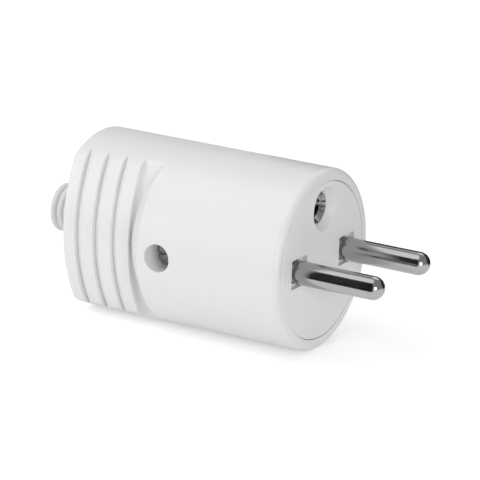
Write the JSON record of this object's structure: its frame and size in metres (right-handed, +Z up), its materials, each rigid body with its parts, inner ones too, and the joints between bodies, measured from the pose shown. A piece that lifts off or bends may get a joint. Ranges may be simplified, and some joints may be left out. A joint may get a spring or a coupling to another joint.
{
  "type": "type e plug",
  "caption": "White rewirable straight mains plug with round pins, a funnel-mouthed earth socket in its face, a ribbed grip and a ringed cable bushing.",
  "frame": {"origin": "middle of the front face, halfway between the pins' axes", "axes": "+X along the plug towards the pin tips, +Y across from the line pin to the neutral pin, +Z up towards the earth socket"},
  "size_m": [0.0818, 0.0374, 0.0374],
  "materials": {
    "white_shell": "smooth moulded, glossy",
    "white_insert": "smooth moulded, semi-gloss",
    "inner_plastic": "moulded, matt",
    "soft_white": "soft moulded, satin",
    "nickel": "turned, nickel-plated",
    "steel": "zinc-plated"
  },
  "bodies": {
    "root": {"outer_sleeve": "white_shell", "contact_carrier": "white_insert", "line_pin": "nickel", "neutral_pin": "nickel", "earth_socket": "nickel", "earth_spring_ring": "steel", "retaining_plate": "inner_plastic", "retaining_plate_screw": "steel", "line_terminal_screw": "steel", "neutral_terminal_screw": "steel", "earth_terminal_screw": "steel", "line_wire_leaf": "steel", "neutral_wire_leaf": "steel", "earth_wire_leaf": "steel", "cord_clamp": "inner_plastic", "cord_clamp_screw_left": "steel", "cord_clamp_screw_right": "steel", "sleeve_screw": "steel", "sleeve_nut": "steel", "cable_bushing": "soft_white"}
  },
  "joints": []
}
